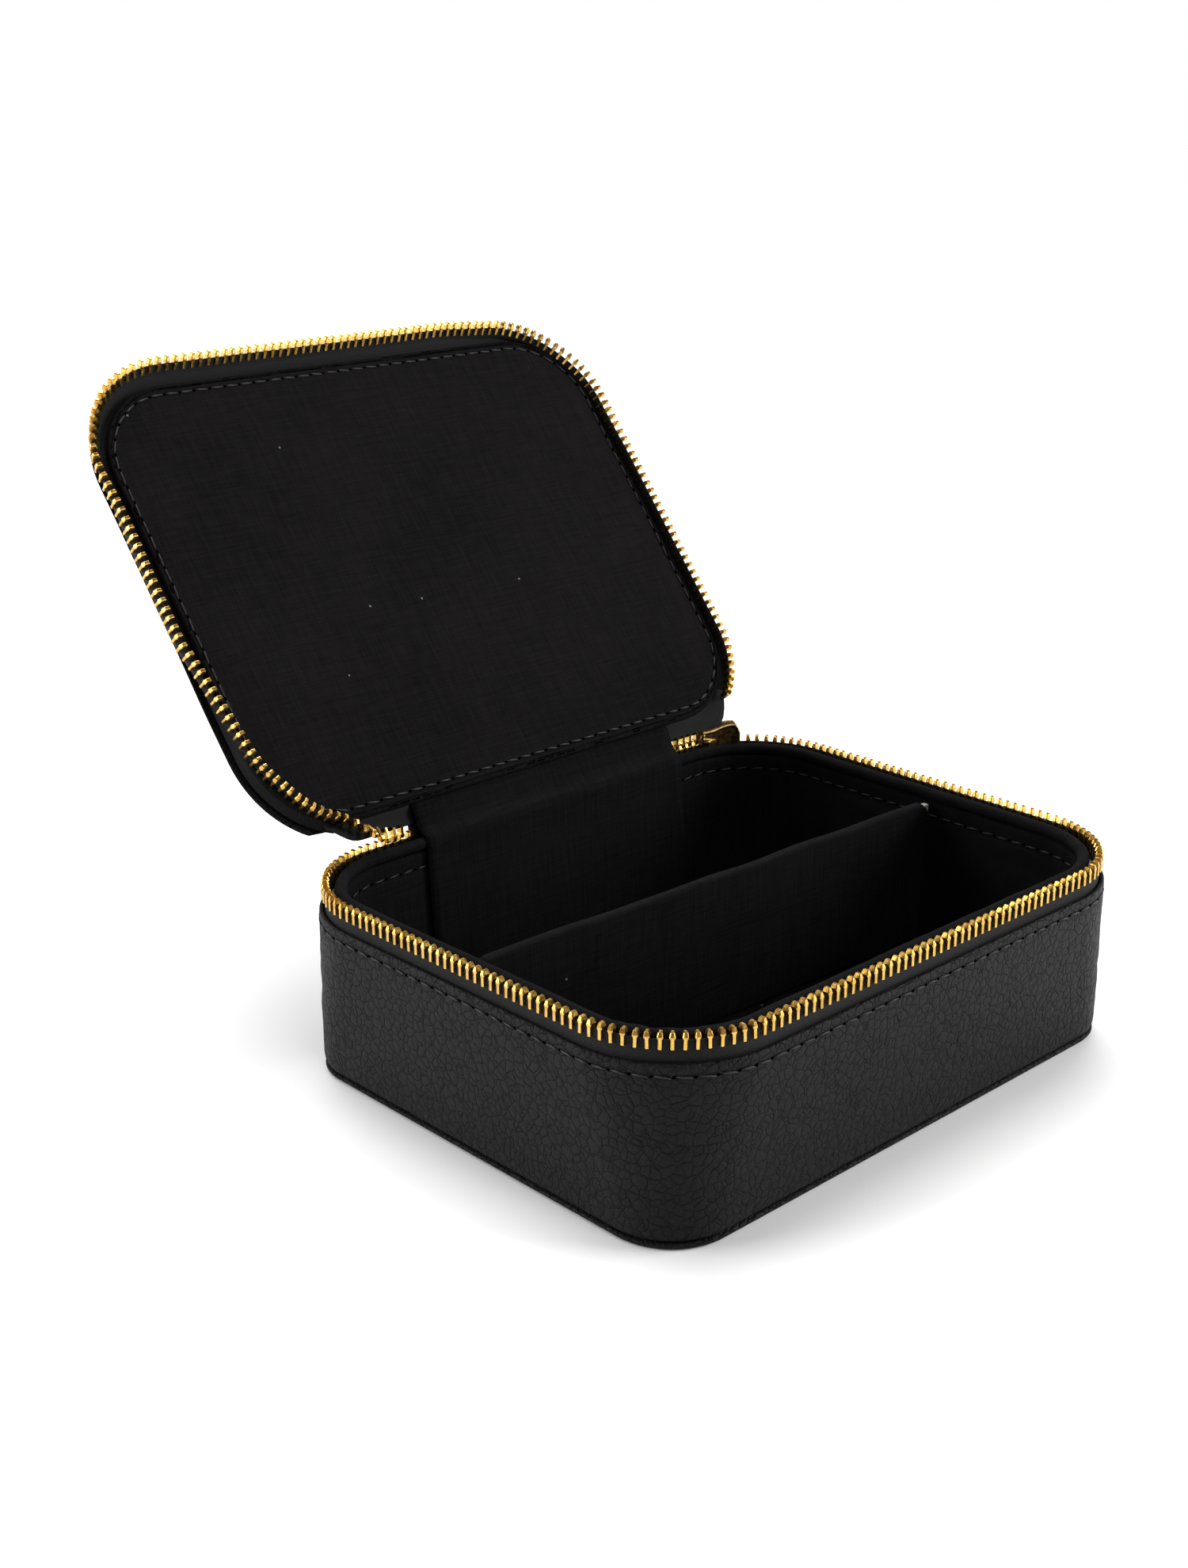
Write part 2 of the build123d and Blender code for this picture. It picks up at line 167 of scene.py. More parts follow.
class Finish:
    def __init__(self, name, **constants):
        self.material = bpy.data.materials.new(name)
        self.material.use_nodes = True
        self.tree = self.material.node_tree
        self.shader = self.tree.nodes["Principled BSDF"]
        for socketName, value in constants.items():
            self.shader.inputs[socketName.replace("_", " ")].default_value = value
        self.where = self.node("ShaderNodeTexCoord", {}, {}, "Object")

    def node(self, kind, settings, inputs, output=0):
        made = self.tree.nodes.new(kind)
        for key, value in settings.items():
            if key == "stops":
                ramp = made.color_ramp.elements
                while len(ramp) < len(value):
                    ramp.new(0.5)
                for stop, (place, colour) in zip(ramp, value):
                    stop.position = place
                    stop.color = (*colour, 1) if hasattr(colour, "__len__") else (colour,) * 3 + (1,)
            else:
                setattr(made, key, value)
        pairs = inputs.items() if isinstance(inputs, dict) else enumerate(inputs)
        for key, value in pairs:
            if isinstance(value, Signal):
                self.tree.links.new(value.socket, made.inputs[key])
            else:
                made.inputs[key].default_value = value
        return Signal(self, made.outputs[output])

    def attribute(self, name):
        return self.node("ShaderNodeAttribute", {"attribute_name": name}, {}, "Fac")

    def noise(self, scale, detail=3.0, at=None):
        return self.node(
            "ShaderNodeTexNoise", {}, {"Vector": at or self.where, "Scale": scale, "Detail": detail}
        )

    def ramp(self, value, *stops):
        return self.node("ShaderNodeValToRGB", {"stops": stops}, [value])

    def bump(self, height, strength, distance, under=None):
        inputs = {"Height": height, "Strength": strength, "Distance": distance}
        if under:
            inputs["Normal"] = under
        return self.node("ShaderNodeBump", {}, inputs)

    def feed(self, socketName, value):
        self.tree.links.new(value.socket, self.shader.inputs[socketName])


leatherLook = {
    "grain": 430,
    "crease": 0.0005,
    "dark": (0.0012, 0.0012, 0.0013),
    "light": (0.0044, 0.0044, 0.0046),
}


def makeLeather(name, grain):
    f = Finish(name, Roughness=0.5, IOR=1.46, Specular_IOR_Level=0.15)
    drift = f.node("ShaderNodeTexNoise", {}, {"Vector": f.where, "Scale": 260, "Detail": 2.0}, "Color")
    bent = f.node("ShaderNodeMix", {"data_type": "VECTOR"}, {0: 0.0022, 4: f.where, 5: drift}, 1)
    cells = f.node(
        "ShaderNodeTexVoronoi", {"feature": "DISTANCE_TO_EDGE"}, {"Vector": bent, "Scale": grain}
    )
    small = f.node(
        "ShaderNodeTexVoronoi", {"feature": "DISTANCE_TO_EDGE"}, {"Vector": bent, "Scale": grain * 2.3}
    )
    patches = f.noise(38, 4)
    pores = f.noise(2600, 2)
    crease = f.ramp(cells, (0.0, 0.0), (0.07, 0.8), (0.35, 1.0))
    fine = f.ramp(small, (0.0, 0.0), (0.08, 0.85), (0.4, 1.0))
    height = crease * (patches * 0.6 + 0.6) + fine * 0.22 + pores * 0.04
    shade = crease * 0.7 + fine * 0.12 + patches * 0.3
    f.feed("Base Color", f.ramp(shade, (0.25, leatherLook["dark"]), (0.85, leatherLook["light"])))
    f.feed("Roughness", 0.64 - crease * 0.14 + patches * 0.06)
    f.feed("Normal", f.bump(height, 0.85, leatherLook["crease"]))
    return f.material


def makeCloth(name, colour, pitch, lint=True):
    f = Finish(name, Roughness=0.9, IOR=1.4, Specular_IOR_Level=0.08)
    turned = f.node("ShaderNodeMapping", {}, {"Vector": f.where, "Rotation": (openAngle, 0, 0)})

    def fibres(scale):
        laid = f.node("ShaderNodeMapping", {}, {"Vector": turned, "Scale": scale})
        return f.node("ShaderNodeTexNoise", {}, {"Vector": laid, "Scale": 1.0})

    weft = fibres((90, 2200, 2200))
    warp = fibres((2200, 90, 90))
    threads = weft * 0.5 + warp * 0.5
    cloud = f.noise(24, 4)
    tone = threads * 0.75 + cloud * 0.25
    stops = [(0.35, [c * 0.4 for c in colour]), (0.65, [c * 1.6 for c in colour])]
    if lint:
        specks = f.node("ShaderNodeTexVoronoi", {}, {"Vector": f.where, "Scale": 75})
        speck = specks.math("LESS_THAN", 0.025)
        mix = {0: speck, 6: f.ramp(tone, *stops), 7: (0.12, 0.12, 0.125, 1)}
        pale = f.node("ShaderNodeMix", {"data_type": "RGBA"}, mix, 2)
        f.feed("Base Color", pale)
    else:
        f.feed("Base Color", f.ramp(tone, *stops))
    f.feed("Roughness", 0.8 + threads * 0.2)
    f.feed("Normal", f.bump(threads, 0.55, pitch))
    return f.material


def makeTape(name):
    f = Finish(name, Roughness=0.78, IOR=1.45, Specular_IOR_Level=0.3)
    along = f.attribute("along")
    across = f.attribute("across")
    column = (across / 1.5).math("FRACT") - 0.5
    chevron = column.math("ABSOLUTE") * 2.4
    rib = ((along + chevron) * (2 * math.pi / 0.62)).math("SINE")
    fray = f.noise(1500, 2)
    height = rib * 0.5 + fray * 0.6
    f.feed("Base Color", f.ramp(height, (0.0, (0.0008, 0.0008, 0.0008)), (0.95, (0.0125, 0.0125, 0.013))))
    f.feed("Roughness", 0.7 + fray * 0.2)
    f.feed("Normal", f.bump(height, 0.7, 0.0001))
    return f.material


def makeThread(name, dark=(0.004, 0.004, 0.0041), light=(0.014, 0.014, 0.0145), gloss=0.4):
    f = Finish(name, Roughness=0.55, IOR=1.45, Specular_IOR_Level=gloss)
    ply = f.noise(1800, 2)
    f.feed("Base Color", f.ramp(ply, (0.3, dark), (0.75, light)))
    f.feed("Normal", f.bump(ply, 0.5, 0.0001))
    return f.material


def makeMetal(name, bright, dark, rough):
    f = Finish(name, Metallic=1.0, Roughness=rough)
    scuff = f.noise(900, 3)
    patch = f.noise(160, 2)
    f.feed("Base Color", f.ramp(scuff * 0.5 + patch * 0.5, (0.35, dark), (0.65, bright)))
    f.feed("Roughness", scuff * 0.2 + (rough - 0.1))
    f.feed("Normal", f.bump(scuff, 0.25, 0.00005))
    return f.material


def makeBoard(name, colour):
    f = Finish(name, Roughness=0.85)
    fibre = f.noise(700, 5)
    f.feed("Base Color", f.ramp(fibre, (0.3, [c * 0.7 for c in colour]), (0.7, colour)))
    f.feed("Normal", f.bump(fibre, 0.4, 0.0002))
    return f.material


leatherFinish = makeLeather("pebbledLeather", leatherLook["grain"])
clothFinish = makeCloth("liningCloth", (0.0050, 0.0045, 0.0048), 0.00012)
collarFinish = makeCloth("collarCloth", (0.0050, 0.0047, 0.0049), 0.00012, lint=False)
tapeFinish = makeTape("herringboneTape")
threadFinish = makeThread("sewingThread")
# near-black finish with no reflection for the needle-hole blobs: painted shade in the holes
holeShadeFinish = makeThread("needleHoleShade", (0.0004, 0.0004, 0.0004), (0.0012, 0.0012, 0.0012), 0.0)
teethFinish = makeMetal("brassTeeth", (0.74, 0.47, 0.12), (0.5, 0.28, 0.055), 0.27)
sliderFinish = makeMetal("lacqueredSlider", (0.62, 0.42, 0.16), (0.2, 0.12, 0.045), 0.3)
boardFinish = makeBoard("greyBoard", (0.3, 0.28, 0.25))
foamFinish = makeBoard("foam", (0.05, 0.05, 0.05))
cadFinishes = {
    "base_floor_board": boardFinish, "base_wall_board": boardFinish, "divider_board": boardFinish,
    "lid_board": boardFinish, "lid_padding": foamFinish, "zip_stops": sliderFinish,
    "pull_link": sliderFinish, "pull_tab": sliderFinish,
}
for node, finish in cadFinishes.items():
    carried = frame["nodes"][node]
    carried.data.materials.clear()
    carried.data.materials.append(finish)
print("finishes")


def cornerRadius(height):
    share = min(max((height + datum) / (case["leatherTop"] + datum), 0), 1)
    return case["floorRadius"] + (case["rimRadius"] - case["floorRadius"]) * share


def sideDraft(height):
    return case["draft"] * min(max(1 - (height + datum) / (case["leatherTop"] + datum), 0), 1)


def rimPlace(distance, inset, radius=None, width=None, depth=None):
    radius = (case["rimRadius"] if radius is None else radius) - inset
    width = (width or case["width"]) - 2 * inset
    depth = (depth or case["depth"]) - 2 * inset
    quarter = radius * math.pi / 2
    wide, deep = width - 2 * radius, depth - 2 * radius
    x, y, heading = 0.0, depth / 2, math.pi
    sides = [wide / 2, quarter, deep, quarter, wide, quarter, deep, quarter, wide / 2]
    for number, length in enumerate(sides):
        step = min(distance, length)
        if number % 2 == 0:
            x += step * math.cos(heading)
            y += step * math.sin(heading)
        else:
            turned = heading + step / radius
            x += radius * (math.sin(turned) - math.sin(heading))
            y -= radius * (math.cos(turned) - math.cos(heading))
            heading = turned
        distance -= step
        if distance <= 0:
            break
    return Matrix.Translation((x, y, 0)) @ Matrix.Rotation(heading, 4, "Z")


def rimLength(inset, radius=None, width=None, depth=None):
    radius = (case["rimRadius"] if radius is None else radius) - inset
    width = (width or case["width"]) - 2 * inset
    depth = (depth or case["depth"]) - 2 * inset
    return 2 * (width + depth) - 8 * radius + 2 * math.pi * radius


def vertsOf(made):
    return [g for g in made if isinstance(g, bmesh.types.BMVert)]


def edgesWithin(made, verts):
    edges = [g for g in made if isinstance(g, bmesh.types.BMEdge)]
    return [e for e in edges if all(v in verts for v in e.verts)]


def cutAt(bm, place, normal):
    geom = bm.verts[:] + bm.edges[:] + bm.faces[:]
    bmesh.ops.bisect_plane(bm, geom=geom, plane_co=place, plane_no=normal)


def cutGrid(bm, reach, wide, deep):
    for k in range(-reach, reach + 1):
        for span, direction in ((wide, Vector((1, 0, 0))), (deep, Vector((0, 1, 0)))):
            cutAt(bm, direction * span * k, direction)


def awayFrom(v):
    return Vector((v.co.x / case["width"], v.co.y / case["depth"], 0)).normalized()


def cornerShare(v):
    return max(abs(v.co.x) - cornerX, 0) * max(abs(v.co.y) - cornerY, 0) / 200


def sweepRim(profile, closedProfile, first=0.0, last=None, step=2.5, inset=0.0, **shape):
    bm = bmesh.new()
    along = bm.verts.layers.float.new("along")
    across = bm.verts.layers.float.new("across")
    total = rimLength(inset, **shape)
    fullRing = last is None
    last = total if fullRing else last
    count = max(2, round((last - first) / step))
    place = rimPlace(first, inset, **shape)
    verts = []
    run = 0.0
    for k, (inward, height) in enumerate(profile):
        v = bm.verts.new(place @ Vector((0, inward - inset, height)))
        if k:
            run += (Vector(profile[k]) - Vector(profile[k - 1])).length
        v[along] = first
        v[across] = run
        verts.append(v)
    edges = [bm.edges.new(pair) for pair in zip(verts, verts[1:])]
    if closedProfile:
        edges.append(bm.edges.new((verts[-1], verts[0])))
    for k in range(1, count + 1):
        distance = first + (last - first) * k / count
        after = rimPlace(distance, inset, **shape)
        made = bmesh.ops.extrude_edge_only(bm, edges=edges)["geom"]
        verts = vertsOf(made)
        edges = edgesWithin(made, verts)
        bmesh.ops.transform(bm, matrix=after @ place.inverted(), verts=verts)
        for v in verts:
            v[along] = distance
        place = after
    if fullRing:
        bmesh.ops.remove_doubles(bm, verts=bm.verts, dist=0.001)
    elif closedProfile:
        bmesh.ops.holes_fill(bm, edges=[e for e in bm.edges if e.is_boundary])
    return bm


def tightenCorners(bm):
    for v in bm.verts:
        pull = case["rimRadius"] - cornerRadius(v.co.z)
        x, y = abs(v.co.x) - cornerX, abs(v.co.y) - cornerY
        turn = math.atan2(max(y, 0), max(x, 0))
        if pull > 0 and x > -0.01 and y > -0.01 and (x > 0.01 or y > 0.01):
            v.co.x += math.copysign(pull * (1 - math.cos(turn)), v.co.x)
            v.co.y += math.copysign(pull * (1 - math.sin(turn)), v.co.y)
        draft = sideDraft(v.co.z)
        v.co.x *= 1 - 2 * draft / case["width"]
        v.co.y *= 1 - 2 * draft / case["depth"]


def finishPiece(name, bm, finish, body="base", nodes=(), onLid=False, smooth=True):
    bmesh.ops.recalc_face_normals(bm, faces=bm.faces)
    if onLid:
        bmesh.ops.transform(bm, matrix=lidOpen, verts=bm.verts)
    bmesh.ops.translate(bm, vec=(0, 0, datum), verts=bm.verts)
    bmesh.ops.scale(bm, vec=(0.001, 0.001, 0.001), verts=bm.verts)
    for face in bm.faces:
        face.smooth = smooth
    mesh = bpy.data.meshes.new(name)
    bm.to_mesh(mesh)
    bm.free()
    mesh.materials.append(finish)
    piece = bpy.data.objects.new(name, mesh)
    bpy.context.collection.objects.link(piece)
    if body:
        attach(piece, body)
    if nodes:
        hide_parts(*nodes)
    return piece


def runOf(points):
    spots = [Vector(p) for p in points]
    return sum((b - a).length for a, b in zip(spots, spots[1:]))


def wander(v, scale, amount, seed=0.0):
    return amount * noise.noise(Vector((v.co.x / scale + seed, v.co.y / scale, v.co.z / scale)))


def roundedSlab(width, depth, radius, low, high, edge, steps=3):
    bm = bmesh.new()
    bmesh.ops.create_grid(bm, x_segments=1, y_segments=1, size=0.5)
    bmesh.ops.scale(bm, vec=(width, depth, 1), verts=bm.verts)
    bmesh.ops.bevel(
        bm, geom=bm.verts[:], offset=radius, segments=12, profile=0.5, affect="VERTICES", material=-1
    )
    bmesh.ops.translate(bm, vec=(0, 0, low), verts=bm.verts)
    made = bmesh.ops.extrude_face_region(bm, geom=bm.faces[:])["geom"]
    raised = vertsOf(made)
    bmesh.ops.translate(bm, vec=(0, 0, high - low), verts=raised)
    rim = [e for e in bm.edges if abs(e.verts[0].co.z - e.verts[1].co.z) < 0.001]
    bmesh.ops.bevel(
        bm, geom=rim, offset=edge, segments=steps, profile=0.5, affect="EDGES", material=-1
    )
    return bm


sideProfile = [(2.4, 33.0), (1.25, 33.0), (1.2, 39.3), (1.05, 39.95)]
sideProfile += [(0.65, 40.25), (0.2, 40.1), (-0.05, 39.6)]
sideProfile += [(-0.1, 38.6), (-0.02, 37.9), (0.12, 37.4), (0.0, 36.9), (-0.12, 36.0)]
sideProfile += [(-0.14, h) for h in (34, 31.5, 29, 26.5, 24, 21.5, 19, 16.5, 14, 11.5, 9, 6.5, 4, 1.5)]
sideProfile += [(-0.02, 0.1), (0.3, -0.7), (0.9, -1.2), (2.2, -1.4)]
bm = sweepRim(sideProfile, False, step=1.8)
tightenCorners(bm)
for v in bm.verts:
    if v.co.z < 36.5:
        corner = cornerShare(v)
        middle = math.sin(math.pi * min(max((v.co.z + 1) / 37, 0), 1))
        wrinkle = noise.noise(Vector((v.co.x / 26, v.co.y / 26, v.co.z / 3.4)))
        swell = wander(v, 24, 0.26) + wrinkle * (0.07 + 0.22 * min(corner, 1.2))
        outward = awayFrom(v)
        v.co += outward * swell * middle
finishPiece("baseSideLeather", bm, leatherFinish, nodes=["base_side_leather"])

bottomProfile = [(3.6, -2.85), (1.0, -2.9), (0.35, -2.7), (0.05, -2.2)]
bottomProfile += [(0.15, -1.75), (0.9, -1.5), (3.6, -1.45)]
bm = sweepRim(bottomProfile, False)
tightenCorners(bm)
low = [e for e in bm.edges if e.is_boundary and e.verts[0].co.z < -2]
high = [e for e in bm.edges if e.is_boundary and e.verts[0].co.z > -2]
bmesh.ops.holes_fill(bm, edges=low)
bmesh.ops.holes_fill(bm, edges=high)
finishPiece("baseBottomLeather", bm, leatherFinish, nodes=["base_bottom_leather"])
print("base leather")


linerProfile = [(4.5, 41.0), (4.6, 42.1), (5.1, 42.55), (5.8, 42.5), (6.3, 42.0), (6.38, 41.2)]
linerProfile += [(6.3, 40.2), (6.22, 39.3), (6.05, 38.6), (6.2, 37.9), (6.25, 37.0)]
linerProfile += [(6.22, h) for h in (34, 31, 28, 25, 22, 19, 16, 13, 10, 7, 4.5)] + [(6.2, 2.2), (5.0, 1.7)]
bm = sweepRim(linerProfile, False, step=2.0)
tightenCorners(bm)
for v in bm.verts:
    if v.co.z < 37.5:
        inward = awayFrom(v)
        v.co -= inward * (0.14 + wander(v, 15, 0.22, 3.0))
finishPiece("baseWallLiner", bm, clothFinish, nodes=["base_wall_liner"])

collar = {"inset": 5.3, "height": 44.25, "across": 1.55, "up": 1.6}
ring = []
for k in range(14):
    turn = 2 * math.pi * k / 14
    inward = collar["inset"] + collar["across"] * math.cos(turn)
    ring.append((inward, collar["height"] + collar["up"] * math.sin(turn)))
bm = sweepRim(ring, True, step=1.5)
for v in bm.verts:
    corner = cornerShare(v)
    tuck = noise.noise(Vector((v.co.x / 3.0, v.co.y / 3.0, v.co.z / 9)))
    lift = wander(v, 16, 0.22, 8.0) + tuck * (0.08 + 0.25 * min(corner, 1))
    v.co.z += lift
    v.co -= awayFrom(v) * lift * 0.5
collarPiece = finishPiece("baseCollar", bm, collarFinish, nodes=["base_collar"])
print("base lining")


thread = {"length": 3.5, "thick": 0.62, "spacing": 4.6, "lean": 4}


def stitchRing(width, depth, radius, height, flatUp, lean=thread["lean"]):
    total = 2 * (width + depth) - 8 * radius + 2 * math.pi * radius
    count = round(total / thread["spacing"])
    bm = bmesh.new()
    for k in range(count):
        jitter = random.uniform(-0.25, 0.25)
        at = rimPlace((k + 0.5) * total / count + jitter, 0.0, radius, width, depth)
        tilt = Matrix.Rotation(math.radians(lean + random.uniform(-4, 4)), 4, "Z" if flatUp else "Y")
        made = bmesh.ops.create_icosphere(bm, subdivisions=1, radius=0.5)["verts"]
        thin = 0.55 if flatUp else 1.0
        wide = thread["thick"] * (1.0 if flatUp else 0.9)
        size = Matrix.Diagonal((thread["length"], wide, thread["thick"] * thin, 1))
        for v in made:
            v.co.x = math.copysign(min(abs(v.co.x) * 1.5, 0.5), v.co.x)
        lift = Matrix.Translation((0, 0, height))
        bmesh.ops.transform(bm, matrix=lift @ at @ tilt @ size, verts=made)
        hole = rimPlace((k + 1) * total / count + jitter, 0.0, radius, width, depth)
        before = set(bm.faces)
        # a flat near-black blob sits on the surface at each needle hole: painted shade in the hole, with no
        # real depth cut
        holeShadeBlob = bmesh.ops.create_icosphere(bm, subdivisions=1, radius=0.5)["verts"]
        flat = (1.0, 0.8, 0.3, 1) if flatUp else (1.0, 0.3, 0.8, 1)
        bmesh.ops.transform(bm, matrix=lift @ hole @ Matrix.Diagonal(flat), verts=holeShadeBlob)
        for face in bm.faces:
            if face not in before:
                face.material_index = 1
    return bm


stitchRings = {
    "baseRimStitching": {"inset": -0.05, "height": 37.4, "node": "base_rim_stitching"},
    "baseLinerStitching": {"inset": 6.28, "height": 38.6, "node": "base_liner_stitching"},
}
for name, seam in stitchRings.items():
    inset = seam["inset"]
    radius = cornerRadius(seam["height"]) - inset
    side = inset + sideDraft(seam["height"])
    bm = stitchRing(case["width"] - 2 * side, case["depth"] - 2 * side, radius, seam["height"], False)
    seamPiece = finishPiece(name, bm, threadFinish, nodes=[seam["node"]])
    seamPiece.data.materials.append(holeShadeFinish)
print("stitches")


floorPad = {"inset": 6.45, "low": 0.6, "top": 3.6, "edge": 1.1}
radius = cornerRadius(2.5) - floorPad["inset"]
padSide = floorPad["inset"] + sideDraft(2.5)
bm = roundedSlab(
    case["width"] - 2 * padSide, case["depth"] - 2 * padSide, radius,
    floorPad["low"], floorPad["top"], floorPad["edge"],
)
for axis, span in (("X", 84), ("Y", 67)):
    direction = Vector((1, 0, 0)) if axis == "X" else Vector((0, 1, 0))
    for k in range(-20, 21):
        cutAt(bm, direction * span * k / 20.5, direction)
for v in bm.verts:
    if v.co.z > 3.1:
        v.co.z += wander(v, 19, 0.35, 5.0) + wander(v, 6, 0.08, 9.0) - 0.1
padPiece = finishPiece("baseFloorPad", bm, clothFinish, nodes=["base_floor_pad"])

divider = {"length": 155.6, "narrowing": 2.7, "thick": 3.0, "foot": 3.8, "top": 43.3, "y": -1.0, "skew": -2.2}
bm = bmesh.new()
bmesh.ops.create_cube(bm, size=1)
slab = (divider["length"], divider["thick"], divider["top"] - divider["foot"])
bmesh.ops.scale(bm, vec=slab, verts=bm.verts)
bmesh.ops.translate(bm, vec=(0, 0, (divider["top"] + divider["foot"]) / 2), verts=bm.verts)
endEdges = []
for e in bm.edges:
    one, other = e.verts[0].co, e.verts[1].co
    if abs(one.x - other.x) < 0.01 and abs(one.z - other.z) < 0.01 and one.z > 30:
        endEdges.append(e)
bmesh.ops.bevel(bm, geom=endEdges, offset=5.0, segments=6, profile=0.5, affect="EDGES", material=-1)
sharp = [e for e in bm.edges if len(e.link_faces) == 2 and e.calc_face_angle(0) > 0.9]
bmesh.ops.bevel(bm, geom=sharp, offset=1.25, segments=4, profile=0.5, affect="EDGES", material=-1)
for k in range(-30, 31):
    cutAt(bm, (k * 2.55, 0, 0), (1, 0, 0))
for k in range(1, 8):
    cutAt(bm, (0, 0, 3.8 + k * 4.9), (0, 0, 1))
for v in bm.verts:
    lowness = (divider["top"] - v.co.z) / (divider["top"] - divider["foot"])
    v.co.x *= 1 - 2 * divider["narrowing"] * lowness / divider["length"]
    v.co.y += wander(v, 21, 0.7, 2.0)
    if v.co.z > 38:
        v.co.z += wander(v, 24, 0.35, 6.0)
skew = Matrix.Translation((0, divider["y"], 0)) @ Matrix.Rotation(math.radians(divider["skew"]), 4, "Z")
bmesh.ops.transform(bm, matrix=skew, verts=bm.verts)
finishPiece("dividerCover", bm, clothFinish, nodes=["divider_cover"])
print("floor pad and divider")


chain = {"pitch": 2.54, "foot": 42.4, "lidFoot": 50.4, "inset": case["tapeInset"]}
chainLength = rimLength(chain["inset"])
tapeRadius = case["rimRadius"] - chain["inset"]
quarterTurn = tapeRadius * math.pi / 2
teethStart = -gussetLow.x + 1.7
sliderStart = math.radians(52.0)
sliderMouth = chainLength - cornerX - tapeRadius * (math.pi / 2 - sliderStart)
postEnd = sliderMouth + tapeRadius * math.radians(4.5)
chainLast = chainLength - gussetHigh.x - 1.0
lidRowFirst = cornerX + quarterTurn * 0.2


def makeTooth():
    bm = bmesh.new()
    bmesh.ops.create_cube(bm, size=1)
    bmesh.ops.scale(bm, vec=(0.78, 2.1, 2.1), verts=bm.verts)
    bmesh.ops.translate(bm, vec=(0, 0, 1.95), verts=bm.verts)
    top = [f for f in bm.faces if f.normal.z > 0.5]
    head = bmesh.ops.extrude_face_region(bm, geom=top)["geom"]
    headVerts = [g for g in head if isinstance(g, bmesh.types.BMVert)]
    bmesh.ops.delete(bm, geom=top, context="FACES_ONLY")
    bmesh.ops.translate(bm, vec=(0, 0, 0.45), verts=headVerts)
    bmesh.ops.scale(bm, vec=(1.75, 1.0, 1.0), verts=headVerts)
    bm.faces.ensure_lookup_table()
    top = [f for f in bm.faces if f.normal.z > 0.9]
    tip = bmesh.ops.extrude_face_region(bm, geom=top)["geom"]
    tipVerts = [g for g in tip if isinstance(g, bmesh.types.BMVert)]
    bmesh.ops.delete(bm, geom=top, context="FACES_ONLY")
    bmesh.ops.translate(bm, vec=(0, 0, 1.25), verts=tipVerts)
    bmesh.ops.scale(bm, vec=(0.62, 0.62, 1.0), verts=tipVerts)
    soft = [e for e in bm.edges if e.verts[0].co.z > 1.0 or e.verts[1].co.z > 1.0]
    bmesh.ops.bevel(bm, geom=soft, offset=0.17, segments=1, profile=0.5, affect="EDGES", material=-1)
    mesh = bpy.data.meshes.new("toothPattern")
    bm.to_mesh(mesh)
    bm.free()
    return mesh


toothPattern = makeTooth()


def addTeeth(bm, places):
    for at in places:
        wobble = Matrix.Rotation(math.radians(random.uniform(-2.0, 2.0)), 4, "Y")
        before = set(bm.verts)
        bm.from_mesh(toothPattern)
        fresh = [v for v in bm.verts if v not in before]
        bmesh.ops.transform(bm, matrix=at @ wobble, verts=fresh)
    return bm


def rowPlaces(first, last, height, down=False):
    places = []
    count = int((last - first) / chain["pitch"]) + 1
    flip = Matrix.Rotation(math.pi, 4, "X") if down else Matrix.Identity(4)
    for k in range(count):
        at = rimPlace(first + k * chain["pitch"], chain["inset"])
        places.append(Matrix.Translation((0, 0, height)) @ at @ flip)
    return places


afterFirst = teethStart + chain["pitch"] * (int((postEnd + 0.6 - teethStart) / chain["pitch"]) + 1)
baseRow = rowPlaces(teethStart, sliderMouth - 0.6, chain["foot"])
baseRow += rowPlaces(afterFirst, chainLast - 1.2, chain["foot"])
bm = addTeeth(bmesh.new(), baseRow)
finishPiece("zipTeethBase", bm, teethFinish, nodes=["zip_teeth_base"], smooth=False)
endRow = rowPlaces(afterFirst + chain["pitch"] / 2, chainLast - 1.2, chain["lidFoot"], down=True)
bm = addTeeth(bmesh.new(), endRow)
finishPiece("zipTeethEnd", bm, teethFinish, nodes=["zip_teeth_end"], smooth=False)


# how the loose lid row leans and bows away from its drawn line, along the open rim
lidLean = {"front": 30.0, "side": 2.0, "bow": 2.2, "tuck": 3.2, "rearTuck": 4.6}


def lidLoose(at, distance):
    front = min(max((-at.translation.y - 20) / 35, 0), 1)
    sideShare = min(max((-at.translation.x - 45) / 32, 0), 1)
    sideShare = sideShare * (1 - front)
    lean = math.radians(lidLean["front"]) * front * front * (3 - 2 * front)
    lean += math.radians(lidLean["side"]) * sideShare
    leftSide = at.translation.x < -cornerX and abs(at.translation.y) < cornerY + 12
    bow = 0.0
    if leftSide:
        bow = lidLean["bow"] * math.cos(at.translation.y / 52 * math.pi / 2)
    gap = (Vector((at.translation.x, at.translation.y)) - Vector((cornerX + 14, -cornerY - 14))).length
    cornerPull = lidLean["tuck"] * max(0, 1 - gap / 34)
    rear = (Vector((at.translation.x, at.translation.y)) - Vector((-cornerX - 22, cornerY + 12))).length
    cornerPull += lidLean["rearTuck"] * max(0, 1 - rear / 42) ** 0.7
    shift = Matrix.Translation((0, cornerPull - bow, 0))
    low = Matrix.Translation((0, 0, chain["lidFoot"] + 1.2))
    turn = Matrix.Rotation(-lean, 4, "X")
    return low @ at @ shift @ turn @ Matrix.Translation((0, 0, -1.2))


skipped = int((lidRowFirst - teethStart) / chain["pitch"]) + 1
lidStart = teethStart + chain["pitch"] * (skipped + 0.5)
lidLast = sliderMouth - 1.2
lidPlaces = []
for k in range(int((lidLast - lidStart) / chain["pitch"]) + 1):
    distance = lidStart + k * chain["pitch"]
    at = rimPlace(distance, chain["inset"])
    lidPlaces.append(lidLoose(at, distance) @ Matrix.Rotation(math.pi, 4, "X"))
bm = addTeeth(bmesh.new(), lidPlaces)
finishPiece(
    "zipTeethLid", bm, teethFinish,
    body="lid", nodes=["zip_teeth_lid"], onLid=True, smooth=False,
)
print("zip teeth")


